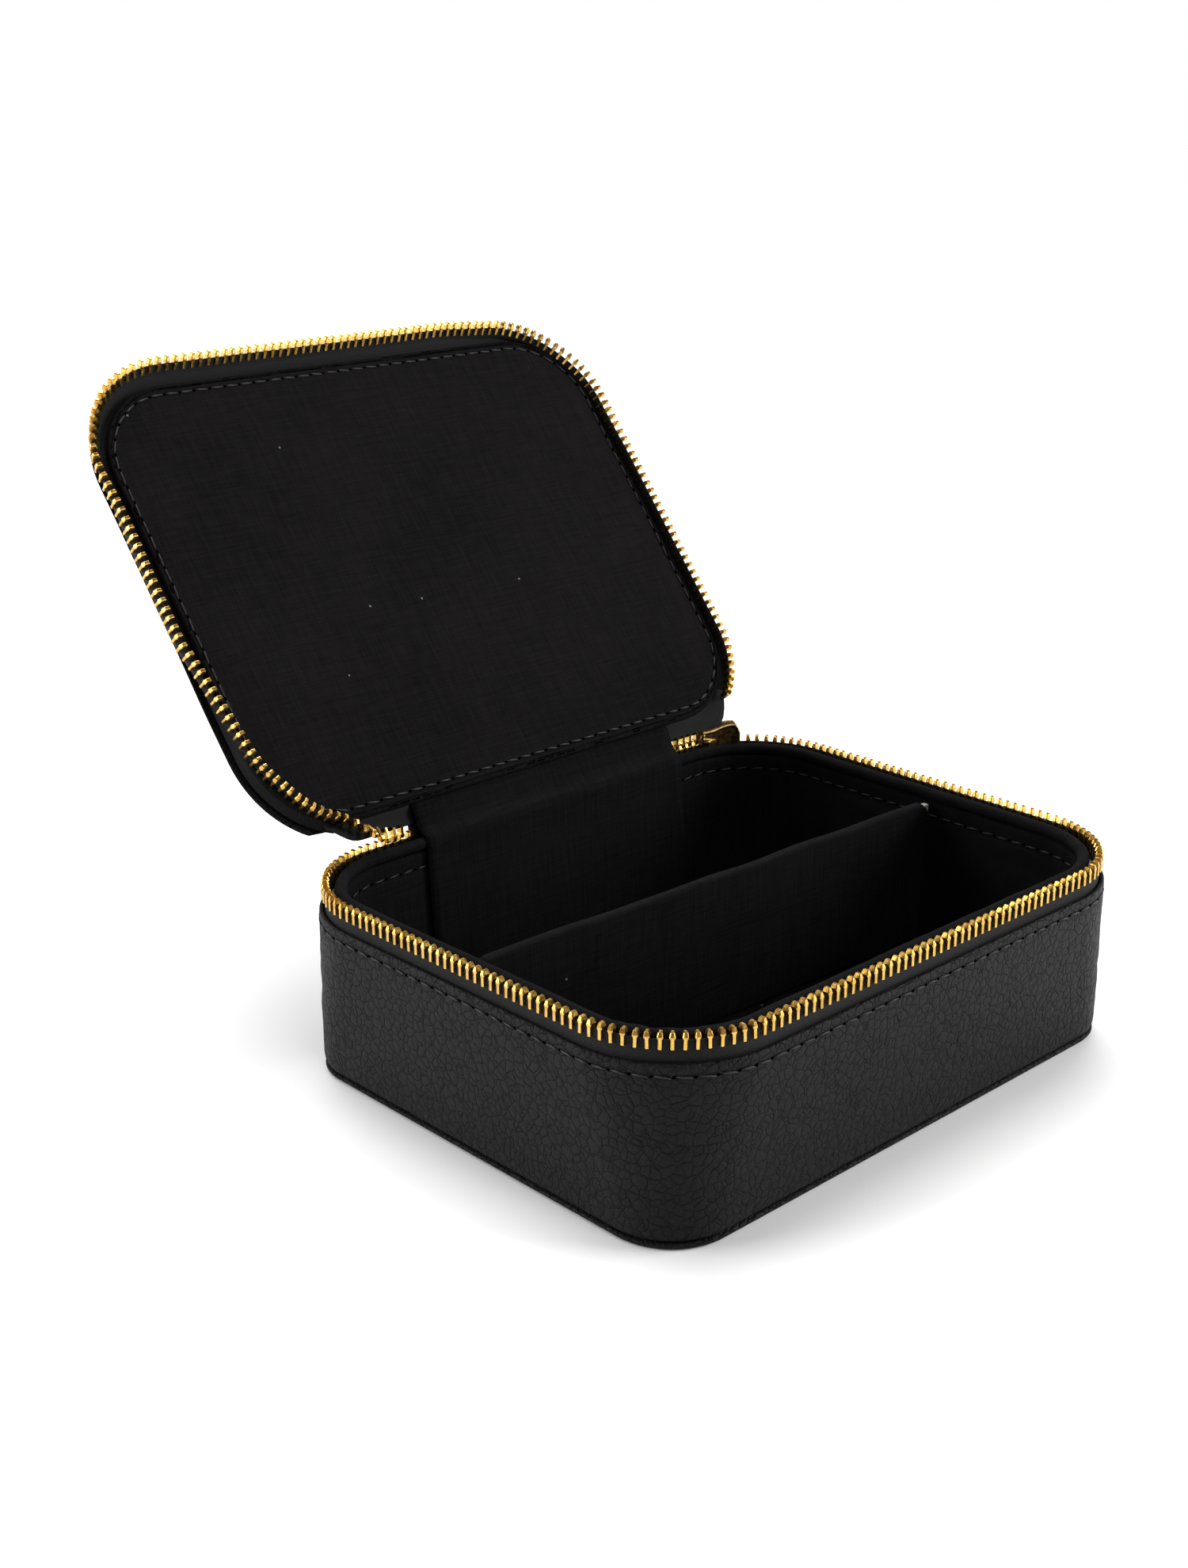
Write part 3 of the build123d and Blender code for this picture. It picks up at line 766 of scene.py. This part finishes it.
tapeBase = [(1.3, 33.9), (1.3, 37), (1.3, 40.6), (1.3, 45.1)]
tapeBase += [(1.55, 45.3), (1.8, 45.1), (1.8, 40.6), (1.8, 37), (1.8, 33.9)]
leftEnd = -gussetLow.x
rightEnd = chainLength - gussetHigh.x
bm = sweepRim(tapeBase, True, first=leftEnd, last=rightEnd, step=1.8, inset=chain["inset"])
tapePiece = finishPiece("zipTapeBase", bm, tapeFinish, nodes=["zip_tape_base"])
baseCut = ((rightEnd - leftEnd) / 1000, runOf(tapeBase[:5]) / 1000)

lidTape = [(1.3, 48.0), (1.3, 49.4), (1.45, 50.6), (2.1, 51.35), (3.4, 51.75), (6.0, 52.0), (8.8, 52.45)]
lidTape += [(8.8, 52.75), (6.0, 52.3), (3.3, 52.1), (1.95, 51.75), (1.9, 50.7), (1.8, 49.4), (1.8, 48.0)]
bm = sweepRim(lidTape, True, first=lidStart - 1.27, last=lidLast + 1.27, step=1.8, inset=chain["inset"])
along = bm.verts.layers.float["along"]
for v in bm.verts:
    distance = v[along]
    at = rimPlace(distance, chain["inset"])
    local = at.inverted() @ v.co
    hang = Vector((0, local.y, local.z - chain["lidFoot"] - 1.2))
    moved = lidLoose(at, distance) @ Matrix.Translation((0, 0, 1.2)) @ hang
    share = min(max((51.9 - v.co.z) / 1.1, 0), 1)
    v.co = v.co.lerp(moved, share * share * (3 - 2 * share))
lidTapePiece = finishPiece(
    "zipTapeLid", bm, tapeFinish,
    body="lid", nodes=["zip_tape_lid"], onLid=True,
)
lidCut = ((lidLast - lidStart + 2.54) / 1000, runOf(lidTape[:7]) / 1000)


def bendPath(points, steps):
    path = []
    for k in range(steps + 1):
        t = k / steps * (len(points) - 1)
        n = min(int(t), len(points) - 2)
        ends = [points[max(n - 1, 0)], points[n], points[n + 1], points[min(n + 2, len(points) - 1)]]
        a, b, c, d = [Vector(p) for p in ends]
        u = t - n
        bend = 2 * a - 5 * b + 4 * c - d
        twist = 3 * b - 3 * c + d - a
        path.append(0.5 * (2 * b + (c - a) * u + bend * u * u + twist * u ** 3))
    return path


def bridgeStrip(lines, thickness, rows=6, sag=0.0):
    bm = bmesh.new()
    along = bm.verts.layers.float.new("along")
    across = bm.verts.layers.float.new("across")
    verts = []
    run = 0.0
    for k, point in enumerate(lines[0]):
        v = bm.verts.new(point)
        if k:
            run += (point - lines[0][k - 1]).length
        v[along] = run
        verts.append(v)
    edges = [bm.edges.new(pair) for pair in zip(verts, verts[1:])]
    done = [0.0] * len(lines[0])
    for n, (near, far) in enumerate(zip(lines, lines[1:])):
        for row in range(1, rows + 1):
            made = bmesh.ops.extrude_edge_only(bm, edges=edges)["geom"]
            fresh = vertsOf(made)
            fresh.sort(key=lambda v: v[along])
            edges = edgesWithin(made, fresh)
            t = row / rows
            bulge = sag * math.sin(math.pi * t) if n == 0 else 0
            for v, low, high, before in zip(fresh, near, far, done):
                v.co = low.lerp(high, t) + Vector((0, bulge, 0))
                v[across] = before + (high - low).length * t
        done = [before + (high - low).length for before, low, high in zip(done, near, far)]
    bmesh.ops.recalc_face_normals(bm, faces=bm.faces)
    bmesh.ops.solidify(bm, geom=bm.faces[:], thickness=thickness)
    return bm


# the cloth between the lines, laid flat: its length, its widest reach and its area, in mm
def flatCut(lines):
    reaches = [runOf(rung) for rung in zip(*lines)]
    area = 0.0
    for near, far in zip(lines, lines[1:]):
        for a, b, c, d in zip(near, near[1:], far[1:], far):
            area += ((b - a).cross(c - a).length + (c - a).cross(d - a).length) / 2
    return max(runOf(line) for line in lines), max(reaches), area


# the rear stretch of the lid's tape, from the closed chain up to the lid
def restLid(distance, height, inset):
    at = rimPlace(distance, chain["inset"])
    return lidOpen @ (at @ Vector((0, inset - chain["inset"], height)))


def restBase(distance, height, inset):
    return rimPlace(distance, inset).translation + Vector((0, 0, height))


rearTapes = {
    "rearTapeRight": {"from": chainLast + 1.2, "to": sliderMouth - 3.0},
    "rearTapeLeft": {"from": leftEnd, "to": lidStart + 2.0},
}
for name, tape in rearTapes.items():
    lower, upper, under = [], [], []
    for k in range(15):
        t = k / 14
        distance = tape["from"] + (tape["to"] - tape["from"]) * t
        closed = restBase(distance, 48.6, chain["inset"])
        opened = restLid(distance, chain["lidFoot"] - 1.0, chain["inset"])
        rise = max(0, (t - 0.55) / 0.45)
        rise = rise * rise * (3 - 2 * rise)
        lower.append(closed.lerp(opened, rise))
        upper.append(restLid(distance, 51.7, 5.2))
        under.append(restLid(distance, 52.0, 10.6))
    lines = [lower, upper, under]
    bm = bridgeStrip(lines, 0.5, sag=0.5)
    strip = finishPiece(name, bm, tapeFinish, body=None)
    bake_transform(strip, "base", "lid", (0, 0.066, 0.0521), (0, 0.0664, 0.0574))
    run, reachUp, cutArea = flatCut(lines)
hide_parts("zip_tape_end")
print("zip tapes")


# the lid's row leaves the closed chain at the gusset's left end and climbs to the lid
def climb(first, last, count, early):
    places = []
    for k in range(count):
        distance = first + (last - first) * (k + 0.5) / count
        t = (k + 0.5) / count if early else 1 - (k + 0.5) / count
        flip = Matrix.Rotation(math.pi, 4, "X")
        closed = Matrix.Translation((0, 0, chain["lidFoot"])) @ rimPlace(distance, chain["inset"]) @ flip
        opened = lidOpen @ lidLoose(rimPlace(distance, chain["inset"]), distance) @ flip
        share = t * t * (3 - 2 * t)
        turn = closed.to_quaternion().slerp(opened.to_quaternion(), share)
        spot = closed.translation.lerp(opened.translation, share)
        places.append(Matrix.Translation(spot) @ turn.to_matrix().to_4x4())
    return places


climbing = climb(teethStart + 1.27, lidStart - 1.0, 8, True)
bm = addTeeth(bmesh.new(), climbing)
leftClimb = finishPiece("zipTeethLeftClimb", bm, teethFinish, body=None, smooth=False)
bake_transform(leftClimb, "base", "lid", (0, 0.066, 0.0521), (0, 0.0664, 0.0574))


slider = {"from": 52.0, "to": 78.7, "tall": 4.6, "low": 3.1, "plate": 0.8, "rim": 0.55}
sliderLength = math.radians(slider["to"] - slider["from"]) * tapeRadius


def bellHalf(u):
    t = min(max(u / sliderLength, 0), 1)
    shoulder = slider["tall"] * math.sqrt(max(1 - max(0.16 - t, 0) ** 2 / 0.034, 0.1))
    neck = 0.5 - 0.5 * math.cos(math.pi * min(max((t - 0.2) / 0.62, 0), 1))
    tail = math.sqrt(max(1 - max(t - 0.95, 0) ** 2 / 0.0045, 0.3))
    return (shoulder * (1 - neck) + slider["low"] * neck) * tail


def bendOnCorner(bm, radius):
    for v in bm.verts:
        turn = math.radians(slider["from"]) + v.co.x / tapeRadius
        reach = radius + v.co.y
        x, y = cornerX + reach * math.cos(turn), cornerY + reach * math.sin(turn)
        v.co = Vector((x, y, case["chainMid"] + v.co.z))
    return bm


def sliderPlate(radius, outside):
    side = 1 if outside else -1
    bm = bmesh.new()
    bmesh.ops.create_grid(bm, x_segments=26, y_segments=8, size=0.5)
    for v in bm.verts:
        u = (v.co.x + 0.5) * sliderLength
        v.co = Vector((u, 0, v.co.y * 2 * bellHalf(u)))
    made = bmesh.ops.extrude_face_region(bm, geom=bm.faces[:])["geom"]
    raised = vertsOf(made)
    bmesh.ops.translate(bm, vec=(0, side * slider["plate"], 0), verts=raised)
    bmesh.ops.recalc_face_normals(bm, faces=bm.faces)
    shown = [f for f in bm.faces if f.normal.y * side > 0.9]
    bmesh.ops.inset_region(bm, faces=shown, thickness=slider["rim"], depth=0, use_even_offset=True)
    shown = [f for f in shown if f.is_valid]
    bmesh.ops.inset_region(bm, faces=shown, thickness=0.18, depth=-0.3, use_even_offset=True)
    return bendOnCorner(bm, radius)


plates = {"sliderInnerPlate": (tapeRadius - 1.35, False), "sliderOuterPlate": (tapeRadius + 1.35, True)}
for name, (radius, outside) in plates.items():
    finishPiece(name, sliderPlate(radius, outside), sliderFinish, body="slider")

bm = bmesh.new()
for side in (-1, 1):
    for edge in (-1, 1):
        made = bmesh.ops.create_cube(bm, size=1)["verts"]
        bmesh.ops.scale(bm, vec=(sliderLength - 0.8, 0.95, 0.5), verts=made)
        bmesh.ops.translate(bm, vec=(sliderLength / 2, side * 0.9, edge * 2), verts=made)
for k in range(1, 20):
    cutAt(bm, (sliderLength * k / 20, 0, 0), (1, 0, 0))
for v in bm.verts:
    sign = math.copysign(1, v.co.z)
    v.co.z = sign * (bellHalf(v.co.x) - 0.35 + abs(v.co.z) - 2)
post = bmesh.ops.create_cube(bm, size=1)["verts"]
bmesh.ops.scale(bm, vec=(2.1, 2.7, 1.6), verts=post)
bmesh.ops.translate(bm, vec=(1.05, 0, 0), verts=post)
bendOnCorner(bm, tapeRadius)
finishPiece("sliderFlanges", bm, sliderFinish, body="slider", smooth=False)

bm = bmesh.new()
circle = bmesh.ops.create_circle(bm, cap_ends=True, segments=10, radius=0.55)["verts"]
bmesh.ops.rotate(bm, cent=(0, 0, 0), matrix=Matrix.Rotation(math.pi / 2, 3, "X"), verts=circle)
bmesh.ops.translate(bm, vec=(-2.6, 0, 0), verts=circle)
disc = bm.faces[:] + bm.edges[:] + bm.verts[:]
bmesh.ops.spin(bm, geom=disc, cent=(0, 0, 0), axis=(0, 0, 1), angle=-math.pi, steps=14)
bridgeTurn = math.radians((slider["from"] + slider["to"]) / 2)
reach = tapeRadius + 1.9
bridgeX, bridgeY = cornerX + reach * math.cos(bridgeTurn), cornerY + reach * math.sin(bridgeTurn)
bridgePlace = Matrix.Translation((bridgeX, bridgeY, case["chainMid"]))
bridgePlace = bridgePlace @ Matrix.Rotation(bridgeTurn - math.pi / 2, 4, "Z")
bmesh.ops.transform(bm, matrix=bridgePlace, verts=bm.verts)
finishPiece("sliderBridge", bm, sliderFinish, body="slider", nodes=["zip_slider"])
print("slider")


lid = {"mouth": 52.3, "top": 56.0, "backWidth": 163.0, "backDepth": 126.6, "backRadius": 24.5, "rear": 62.4}


def tuckLid(bm):
    for v in bm.verts:
        share = min(max((v.co.z - lid["mouth"]) / (lid["top"] - 1.0 - lid["mouth"]), 0), 1)
        v.co.x *= 1 + share * (lid["backWidth"] / case["width"] - 1)
        v.co.y *= 1 + share * (lid["backDepth"] / case["depth"] - 1)
        if v.co.y > lid["rear"]:
            v.co.y = lid["rear"] + (v.co.y - lid["rear"]) * 0.12


lidSide = [(3.4, 52.6), (1.3, 52.5), (0.7, 52.2), (0.2, 52.3), (0.0, 52.8)]
lidSide += [(-0.05, 53.4), (0.0, 54.0), (0.15, 54.6), (0.6, 55.0), (2.4, 55.1)]
bm = sweepRim(lidSide, False, step=1.8)
tuckLid(bm)
for v in bm.verts:
    v.co += awayFrom(v) * wander(v, 17, 0.2, 1.0)
finishPiece(
    "lidSideLeather", bm, leatherFinish,
    body="lid", nodes=["lid_side_leather"], onLid=True,
)

bm = roundedSlab(lid["backWidth"] - 0.4, lid["backDepth"] - 0.4, lid["backRadius"], 54.9, 56.1, 0.5)
cutGrid(bm, 16, 5.05, 3.95)
for v in bm.verts:
    if v.co.z > 55.8:
        bulge = (1 - (v.co.x / 82) ** 2) * (1 - (v.co.y / 64) ** 2)
        v.co.z += 0.9 * max(bulge, 0) ** 0.5 + wander(v, 30, 0.3, 4.0)
finishPiece(
    "lidTopLeather", bm, leatherFinish,
    body="lid", nodes=["lid_top_leather"], onLid=True,
)

panel = {"width": 162.2, "depth": 125.8, "radius": 23.5, "face": 49.2, "back": 51.0}


def rimGap(x, y, width, depth, radius):
    dx, dy = abs(x) - width / 2 + radius, abs(y) - depth / 2 + radius
    outside = math.hypot(max(dx, 0), max(dy, 0))
    return radius - outside - min(max(dx, dy), 0)


bm = roundedSlab(panel["width"], panel["depth"], panel["radius"], panel["face"], panel["back"], 0.85)
for k in range(4):
    face = [f for f in bm.faces if f.normal.z < -0.9]
    bmesh.ops.inset_region(bm, faces=face, thickness=0.75, depth=0)
cutGrid(bm, 22, 3.55, 2.75)
for v in bm.verts:
    if v.co.z < panel["face"] + 0.3:
        gap = rimGap(v.co.x, v.co.y, panel["width"], panel["depth"], panel["radius"])
        seam = math.exp(-((gap - 2.3) / 0.8) ** 2)
        swell = 0.45 * min(gap / 14, 1)
        v.co.z += 0.22 * seam - swell - wander(v, 26, 0.16, 7.0) - wander(v, 7, 0.04, 2.0)
panelPiece = finishPiece(
    "lidLiningPanel", bm, clothFinish,
    body="lid", nodes=["lid_lining_panel"], onLid=True,
)

bm = stitchRing(panel["width"] - 3, panel["depth"] - 6, panel["radius"] - 2.5, panel["face"] - 0.05, True)
lidSeam = finishPiece(
    "lidLiningStitching", bm, threadFinish,
    body="lid", nodes=["lid_lining_stitching"], onLid=True,
)
lidSeam.data.materials.append(holeShadeFinish)
print("lid")


gusset = {"left": gussetLow.x, "right": gussetHigh.x, "thick": 0.45, "columns": 30}
gussetPoints = [(57.3, 4.4), (57.9, 6.5), (58.75, 16), (59.6, 27), (60.45, 37.5), (60.6, 42.0), (60.75, 44.6)]
gussetPoints += [(61.6, 46.4), (63.0, 47.3), (64.3, 48.6), (65.2, 50.4)]
gussetPoints += [(66.0, 52.2), (67.2, 53.6), (69.2, 54.9)]


def clothStrip(points, left, right, columns, rows, thickness, seed):
    path = bendPath([(0, y, z) for y, z in points], rows)
    bm = bmesh.new()
    verts = [bm.verts.new((left, p.y, p.z)) for p in path]
    edges = [bm.edges.new(pair) for pair in zip(verts, verts[1:])]
    step = (right - left) / columns
    for k in range(columns):
        made = bmesh.ops.extrude_edge_only(bm, edges=edges)["geom"]
        fresh = vertsOf(made)
        edges = edgesWithin(made, fresh)
        bmesh.ops.translate(bm, vec=(step, 0, 0), verts=fresh)
    bmesh.ops.recalc_face_normals(bm, faces=bm.faces)
    for v in bm.verts:
        v.co.y += wander(v, 24, 0.22, seed)
        v.co.z += wander(v, 18, 0.15, seed + 3)
    bmesh.ops.solidify(bm, geom=bm.faces[:], thickness=thickness)
    return bm


bm = clothStrip(gussetPoints, gusset["left"], gusset["right"], gusset["columns"], 64, gusset["thick"], 11.0)
gussetPiece = finishPiece(
    "gussetCloth", bm, clothFinish,
    body=None, nodes=["gusset_base", "gusset_lid"],
)
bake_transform(gussetPiece, "base", "lid", (0, 0.0636, 0.0504), (0, 0.0668, 0.0564))

spinePoints = [(68.75, 24), (68.8, 30), (68.8, 37), (68.9, 43), (69.3, 46.5), (70.2, 48.6), (71.2, 50.2)]
lidBack = [lidOpen @ Vector((0, y, 56.9)) for y in (62.6, 60.5, 57.5, 54.0, 51.0)]
spinePoints += [(p.y, p.z) for p in lidBack]
bm = clothStrip(spinePoints, gusset["left"] + 0.5, gusset["right"] - 0.5, 24, 40, 0.8, 17.0)
spinePiece = finishPiece(
    "hingeLeather", bm, leatherFinish,
    body=None, nodes=["spine_base", "spine_lid"],
)
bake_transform(spinePiece, "base", "lid", (0, 0.069, 0.0494), (0, 0.0715, 0.0541))
print("gusset and hinge leather")


bpy.ops.mesh.primitive_plane_add(size=8, location=(0, 0, -0.0002))
floor = bpy.context.object
floor.name = "studioFloor"
floorFinish = Finish("paleFloor", Roughness=0.9, Base_Color=(0.93, 0.93, 0.93, 1))
floor.data.materials.append(floorFinish.material)
